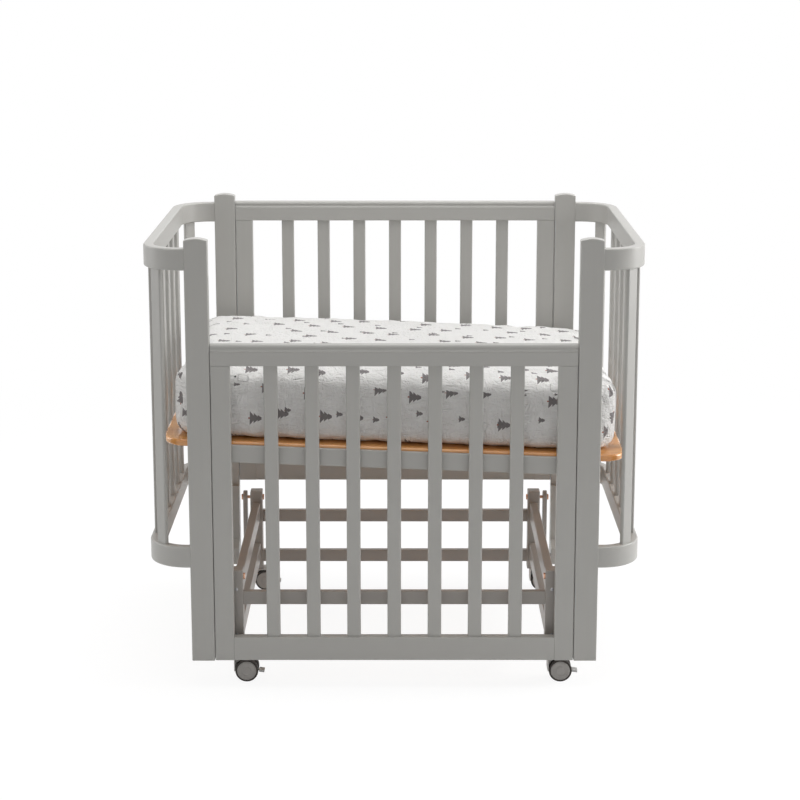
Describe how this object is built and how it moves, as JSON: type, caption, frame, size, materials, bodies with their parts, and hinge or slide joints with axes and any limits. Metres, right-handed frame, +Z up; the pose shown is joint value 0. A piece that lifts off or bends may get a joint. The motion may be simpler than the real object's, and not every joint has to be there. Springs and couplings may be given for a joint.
{
  "type": "pendulum crib",
  "caption": "Slatted crib with bent end rails, a lowered sliding front panel and a mattress, hung by links from a low wheeled base so that it swings front to back.",
  "frame": {"origin": "on the floor under the middle of the crib", "axes": "+X to the viewer's right along the crib, +Y to its rear, +Z up"},
  "size_m": [0.988, 0.66, 0.9189],
  "materials": {
    "post_paint": "satin grey paint",
    "panel_paint": "satin grey paint",
    "slat_paint": "satin grey paint",
    "bent_rail_paint": "satin grey paint",
    "base_paint": "satin warm grey paint",
    "link_wood": "satin warm grey paint",
    "varnished_board": "clear gloss varnish",
    "bare_wood": "sanded",
    "mattress_fabric": "printed cotton cover",
    "zinc_screw": "zinc plated",
    "copper_pin": "copper plated",
    "caster_plastic": "moulded grey",
    "hub_plastic": "moulded grey",
    "brake_plastic": "moulded light grey",
    "caster_tyre": "dark rubber tread"
  },
  "bodies": {
    "base": {"base_screws": "zinc_screw", "upper_pins": "copper_pin", "base_upright_front_left": "base_paint", "base_upright_front_right": "base_paint", "base_upright_rear_left": "base_paint", "base_upright_rear_right": "base_paint", "base_side_rails_left": "base_paint", "base_side_rails_right": "base_paint", "base_crossbars_front": "base_paint", "base_crossbars_rear": "base_paint"},
    "crib": {"front_post_left": "post_paint", "front_post_right": "post_paint", "rear_post_left": "post_paint", "rear_post_right": "post_paint", "rear_panel_top_rail": "panel_paint", "rear_panel_bottom_rail": "panel_paint", "rear_panel_stiles": "panel_paint", "rear_panel_slats": "slat_paint", "upper_bent_rail_left": "bent_rail_paint", "lower_bent_rail_left": "bent_rail_paint", "end_slats_left": "slat_paint", "upper_bent_rail_right": "bent_rail_paint", "lower_bent_rail_right": "bent_rail_paint", "end_slats_right": "slat_paint", "bed_board": "varnished_board", "bed_long_rails": "panel_paint", "bed_cross_rails": "bare_wood", "mattress": "mattress_fabric", "hangers": "base_paint", "hanger_screws": "zinc_screw", "bed_bolts": "zinc_screw", "rear_panel_bolts": "zinc_screw", "rail_dowels": "bare_wood", "lower_pins": "copper_pin"},
    "front_panel": {"front_panel_top_rail": "panel_paint", "front_panel_bottom_rail": "panel_paint", "front_panel_stiles": "panel_paint", "front_panel_slats": "slat_paint", "guide_pins": "zinc_screw"},
    "link_front_left": {"link_front_left": "link_wood"},
    "caster_swivel_front_left": {"caster_housing_front_left": "caster_plastic"},
    "caster_wheels_front_left": {"caster_hubs_front_left": "hub_plastic", "caster_tyres_front_left": "caster_tyre"},
    "caster_brake_front_left": {"caster_brake_front_left": "brake_plastic"},
    "link_front_right": {"link_front_right": "link_wood"},
    "caster_swivel_front_right": {"caster_housing_front_right": "caster_plastic"},
    "caster_wheels_front_right": {"caster_hubs_front_right": "hub_plastic", "caster_tyres_front_right": "caster_tyre"},
    "caster_brake_front_right": {"caster_brake_front_right": "brake_plastic"},
    "link_rear_left": {"link_rear_left": "link_wood"},
    "caster_swivel_rear_left": {"caster_housing_rear_left": "caster_plastic"},
    "caster_wheels_rear_left": {"caster_hubs_rear_left": "hub_plastic", "caster_tyres_rear_left": "caster_tyre"},
    "caster_brake_rear_left": {"caster_brake_rear_left": "brake_plastic"},
    "link_rear_right": {"link_rear_right": "link_wood"},
    "caster_swivel_rear_right": {"caster_housing_rear_right": "caster_plastic"},
    "caster_wheels_rear_right": {"caster_hubs_rear_right": "hub_plastic", "caster_tyres_rear_right": "caster_tyre"},
    "caster_brake_rear_right": {"caster_brake_rear_right": "brake_plastic"}
  },
  "joints": [
    {"name": "swing_front_left", "type": "hinge", "parent": "base", "child": "link_front_left", "pos_m": [-0.345, -0.278, 0.22], "axis": [1, 0, 0], "range_deg": [-6, 6]},
    {"name": "swing_front_right", "type": "hinge", "parent": "base", "child": "link_front_right", "pos_m": [0.345, -0.278, 0.22], "axis": [1, 0, 0], "range_deg": [-6, 6]},
    {"name": "swing_rear_left", "type": "hinge", "parent": "base", "child": "link_rear_left", "pos_m": [-0.345, 0.278, 0.22], "axis": [1, 0, 0], "range_deg": [-6, 6]},
    {"name": "swing_rear_right", "type": "hinge", "parent": "base", "child": "link_rear_right", "pos_m": [0.345, 0.278, 0.22], "axis": [1, 0, 0], "range_deg": [-6, 6]},
    {"name": "crib_level", "type": "hinge", "parent": "link_front_left", "child": "crib", "pos_m": [-0.345, -0.278, 0.08], "axis": [1, 0, 0], "range_deg": [-6, 6]},
    {"name": "front_panel_slide", "type": "slide", "parent": "crib", "child": "front_panel", "axis": [0, 0, 1], "range_m": [0, 0.192]},
    {"name": "caster_turn_front_left", "type": "hinge", "parent": "base", "child": "caster_swivel_front_left", "pos_m": [-0.31925, -0.278, 0.05], "axis": [0, 0, 1], "continuous": true},
    {"name": "wheel_roll_front_left", "type": "hinge", "parent": "caster_swivel_front_left", "child": "caster_wheels_front_left", "pos_m": [-0.30055, -0.278, 0.0234], "axis": [0, 1, 0], "continuous": true},
    {"name": "brake_pedal_front_left", "type": "hinge", "parent": "caster_swivel_front_left", "child": "caster_brake_front_left", "pos_m": [-0.30055, -0.278, 0.0234], "axis": [0, -1, 0], "range_deg": [0, 20]},
    {"name": "caster_turn_front_right", "type": "hinge", "parent": "base", "child": "caster_swivel_front_right", "pos_m": [0.31925, -0.278, 0.05], "axis": [0, 0, 1], "continuous": true},
    {"name": "wheel_roll_front_right", "type": "hinge", "parent": "caster_swivel_front_right", "child": "caster_wheels_front_right", "pos_m": [0.33795, -0.278, 0.0234], "axis": [0, 1, 0], "continuous": true},
    {"name": "brake_pedal_front_right", "type": "hinge", "parent": "caster_swivel_front_right", "child": "caster_brake_front_right", "pos_m": [0.33795, -0.278, 0.0234], "axis": [0, -1, 0], "range_deg": [0, 20]},
    {"name": "caster_turn_rear_left", "type": "hinge", "parent": "base", "child": "caster_swivel_rear_left", "pos_m": [-0.31925, 0.278, 0.05], "axis": [0, 0, 1], "continuous": true},
    {"name": "wheel_roll_rear_left", "type": "hinge", "parent": "caster_swivel_rear_left", "child": "caster_wheels_rear_left", "pos_m": [-0.30055, 0.278, 0.0234], "axis": [0, 1, 0], "continuous": true},
    {"name": "brake_pedal_rear_left", "type": "hinge", "parent": "caster_swivel_rear_left", "child": "caster_brake_rear_left", "pos_m": [-0.30055, 0.278, 0.0234], "axis": [0, -1, 0], "range_deg": [0, 20]},
    {"name": "caster_turn_rear_right", "type": "hinge", "parent": "base", "child": "caster_swivel_rear_right", "pos_m": [0.31925, 0.278, 0.05], "axis": [0, 0, 1], "continuous": true},
    {"name": "wheel_roll_rear_right", "type": "hinge", "parent": "caster_swivel_rear_right", "child": "caster_wheels_rear_right", "pos_m": [0.33795, 0.278, 0.0234], "axis": [0, 1, 0], "continuous": true},
    {"name": "brake_pedal_rear_right", "type": "hinge", "parent": "caster_swivel_rear_right", "child": "caster_brake_rear_right", "pos_m": [0.33795, 0.278, 0.0234], "axis": [0, -1, 0], "range_deg": [0, 20]}
  ],
  "couplings": [
    {"joint": "crib_level", "follows": "swing_front_left", "ratio": -1},
    {"joint": "swing_front_right", "follows": "swing_front_left", "ratio": 1},
    {"joint": "swing_rear_left", "follows": "swing_front_left", "ratio": 1},
    {"joint": "swing_rear_right", "follows": "swing_front_left", "ratio": 1}
  ]
}
